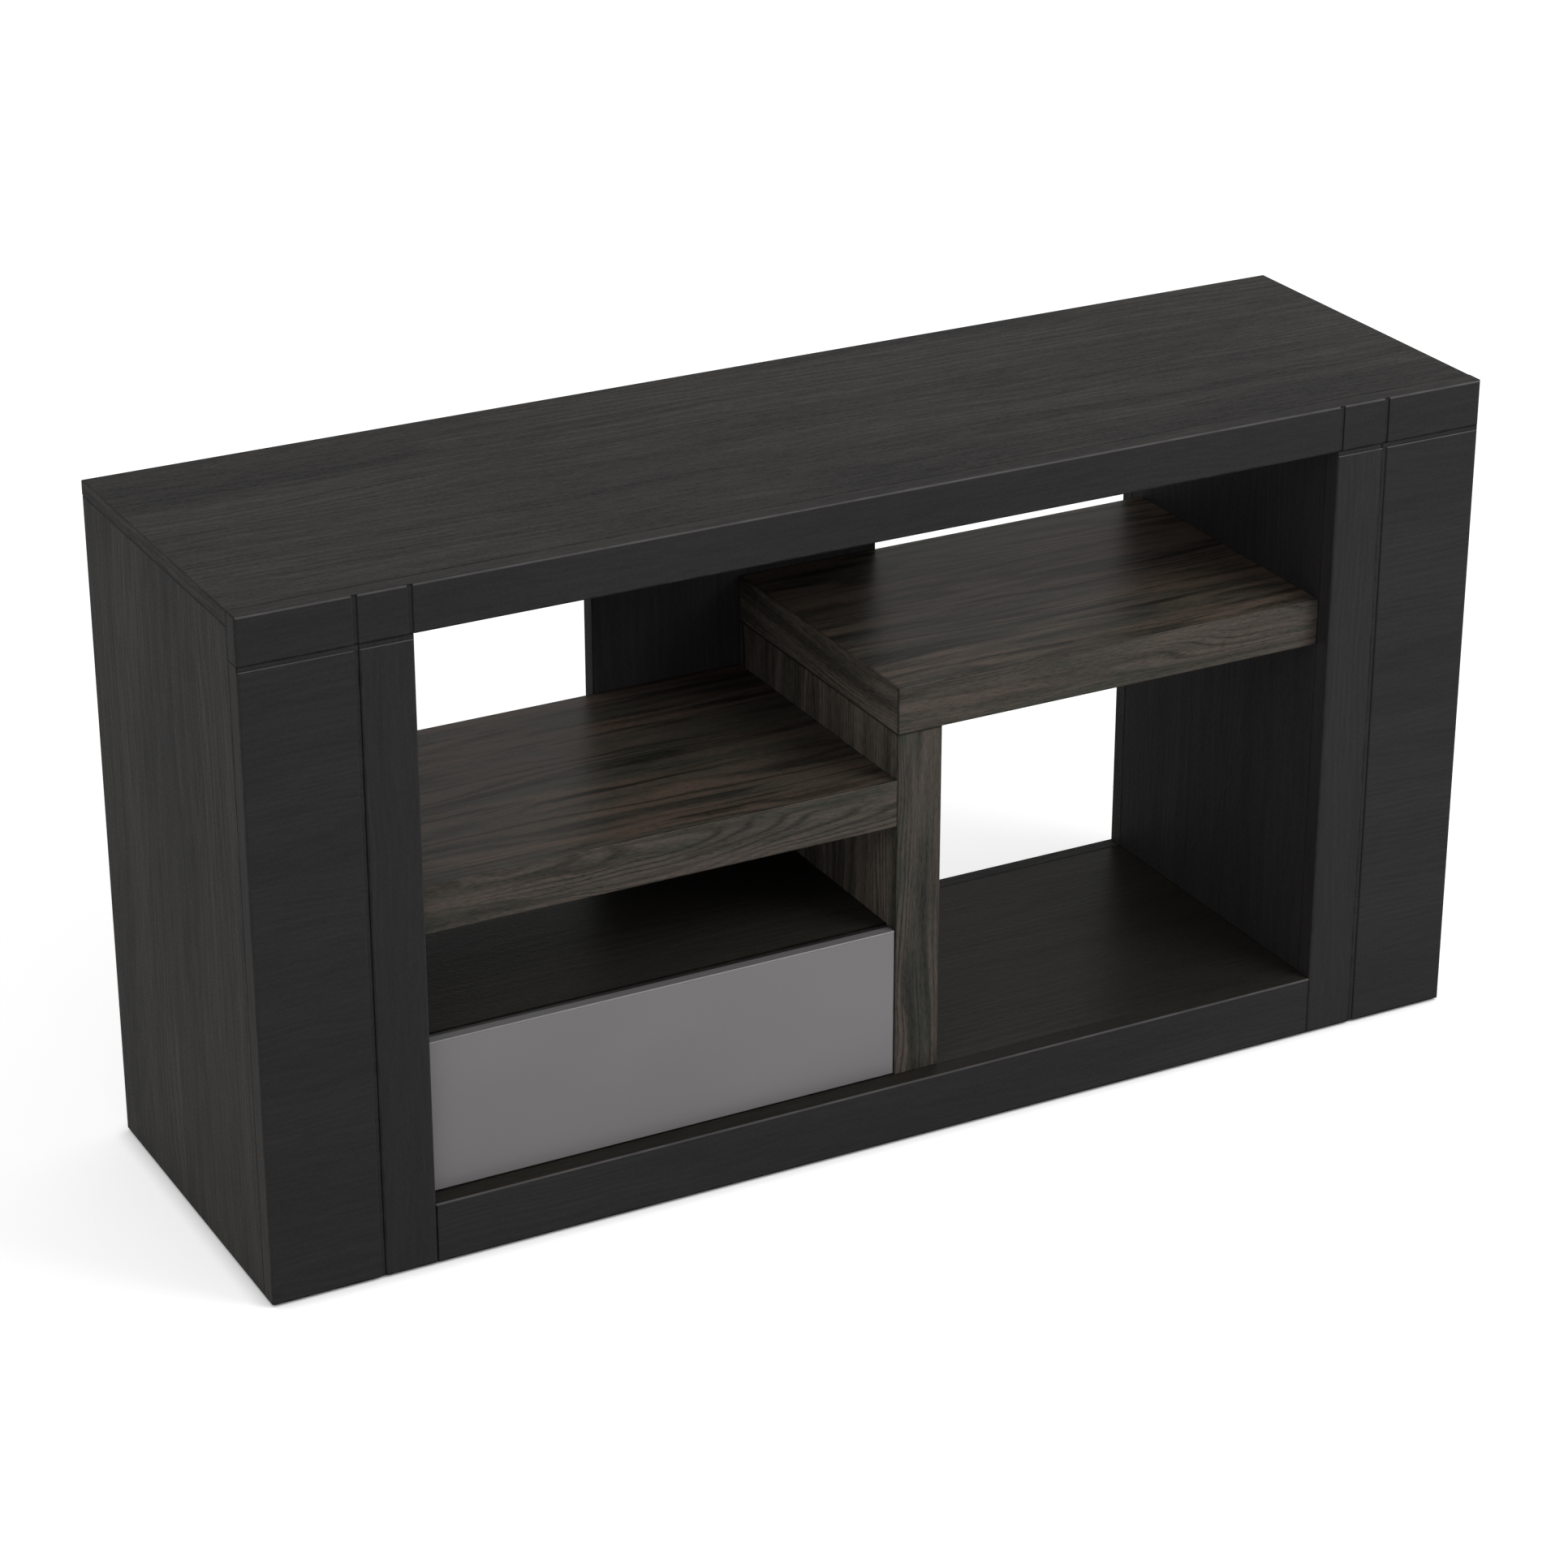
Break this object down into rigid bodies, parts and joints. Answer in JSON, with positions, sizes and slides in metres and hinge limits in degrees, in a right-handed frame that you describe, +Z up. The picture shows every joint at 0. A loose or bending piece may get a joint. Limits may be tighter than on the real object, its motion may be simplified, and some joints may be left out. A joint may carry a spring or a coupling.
{
  "type": "console table",
  "caption": "Low console table with two boxed pillars, a grooved front frame, offset thick walnut shelves on a divider and a handleless push-open drawer under a cover shelf.",
  "frame": {"origin": "on the floor, under the middle of the table", "axes": "+X along the table to the viewer's right, +Y towards the back, +Z up; the front faces -Y"},
  "size_m": [1.3, 0.38, 0.68],
  "materials": {
    "black_woodgrain_laminate": "fine-grained black laminate, satin",
    "charcoal_front_board": "smooth charcoal foil with faint grain, satin",
    "dark_walnut_veneer": "streaked dark walnut, satin lacquer",
    "grey_lacquer": "mid grey satin lacquer on board",
    "drawer_box_board": "dark grey foil",
    "hardboard": "smooth brown hardboard",
    "chipboard_core": "raw chipboard",
    "beech": "raw beech",
    "zinc_plated_steel": "zinc-plated rolled sheet",
    "black_plastic": "matt moulded plastic"
  },
  "bodies": {
    "carcass": {"back_rail": "black_woodgrain_laminate", "base_panel": "black_woodgrain_laminate", "cam_bolts": "zinc_plated_steel", "cam_locks": "zinc_plated_steel", "centre_back_panel": "black_woodgrain_laminate", "divider_core": "chipboard_core", "divider_edge_bands": "dark_walnut_veneer", "divider_left_skin": "dark_walnut_veneer", "divider_right_skin": "dark_walnut_veneer", "dowels": "beech", "drawer_cover_shelf": "black_woodgrain_laminate", "floor_glides": "black_plastic", "front_rail": "charcoal_front_board", "glue_tongues": "beech", "left_inner_panel": "black_woodgrain_laminate", "left_pillar_back": "black_woodgrain_laminate", "left_pillar_front": "charcoal_front_board", "left_pillar_stile": "charcoal_front_board", "left_push_catch": "black_plastic", "left_shelf_bottom_skin": "dark_walnut_veneer", "left_shelf_core": "chipboard_core", "left_shelf_edge_bands": "dark_walnut_veneer", "left_shelf_top_skin": "dark_walnut_veneer", "left_side_panel": "black_woodgrain_laminate", "left_slide_cabinet_member": "zinc_plated_steel", "right_inner_panel": "black_woodgrain_laminate", "right_pillar_back": "black_woodgrain_laminate", "right_pillar_front": "charcoal_front_board", "right_pillar_stile": "charcoal_front_board", "right_push_catch": "black_plastic", "right_side_panel": "black_woodgrain_laminate", "right_slide_cabinet_member": "zinc_plated_steel", "top_fascia": "charcoal_front_board", "top_panel": "black_woodgrain_laminate", "upper_shelf_bottom_skin": "dark_walnut_veneer", "upper_shelf_core": "chipboard_core", "upper_shelf_edge_bands": "dark_walnut_veneer", "upper_shelf_end_band": "dark_walnut_veneer", "upper_shelf_top_skin": "dark_walnut_veneer"},
    "drawer": {"drawer_back": "drawer_box_board", "drawer_bottom": "hardboard", "drawer_front": "grey_lacquer", "drawer_left_side": "drawer_box_board", "drawer_right_side": "drawer_box_board", "drawer_tongues": "beech", "left_slide_drawer_member": "zinc_plated_steel", "right_slide_drawer_member": "zinc_plated_steel"},
    "left_middle_member": {"left_slide_middle_member": "zinc_plated_steel"},
    "left_outer_cage": {"left_slide_outer_cage": "black_plastic"},
    "left_inner_cage": {"left_slide_inner_cage": "black_plastic"},
    "right_middle_member": {"right_slide_middle_member": "zinc_plated_steel"},
    "right_outer_cage": {"right_slide_outer_cage": "black_plastic"},
    "right_inner_cage": {"right_slide_inner_cage": "black_plastic"}
  },
  "joints": [
    {"name": "drawer_slide", "type": "slide", "parent": "carcass", "child": "drawer", "axis": [0, -1, 0], "range_m": [-0.003, 0.28]},
    {"name": "left_middle_member_slide", "type": "slide", "parent": "carcass", "child": "left_middle_member", "axis": [0, -1, 0], "range_m": [-0.0015, 0.14]},
    {"name": "left_outer_cage_slide", "type": "slide", "parent": "carcass", "child": "left_outer_cage", "axis": [0, -1, 0], "range_m": [-0.00075, 0.07]},
    {"name": "left_inner_cage_slide", "type": "slide", "parent": "carcass", "child": "left_inner_cage", "axis": [0, -1, 0], "range_m": [-0.00225, 0.21]},
    {"name": "right_middle_member_slide", "type": "slide", "parent": "carcass", "child": "right_middle_member", "axis": [0, -1, 0], "range_m": [-0.0015, 0.14]},
    {"name": "right_outer_cage_slide", "type": "slide", "parent": "carcass", "child": "right_outer_cage", "axis": [0, -1, 0], "range_m": [-0.00075, 0.07]},
    {"name": "right_inner_cage_slide", "type": "slide", "parent": "carcass", "child": "right_inner_cage", "axis": [0, -1, 0], "range_m": [-0.00225, 0.21]}
  ],
  "couplings": [
    {"joint": "left_middle_member_slide", "follows": "drawer_slide", "ratio": 0.5},
    {"joint": "left_outer_cage_slide", "follows": "drawer_slide", "ratio": 0.25},
    {"joint": "left_inner_cage_slide", "follows": "drawer_slide", "ratio": 0.75},
    {"joint": "right_middle_member_slide", "follows": "drawer_slide", "ratio": 0.5},
    {"joint": "right_outer_cage_slide", "follows": "drawer_slide", "ratio": 0.25},
    {"joint": "right_inner_cage_slide", "follows": "drawer_slide", "ratio": 0.75}
  ]
}
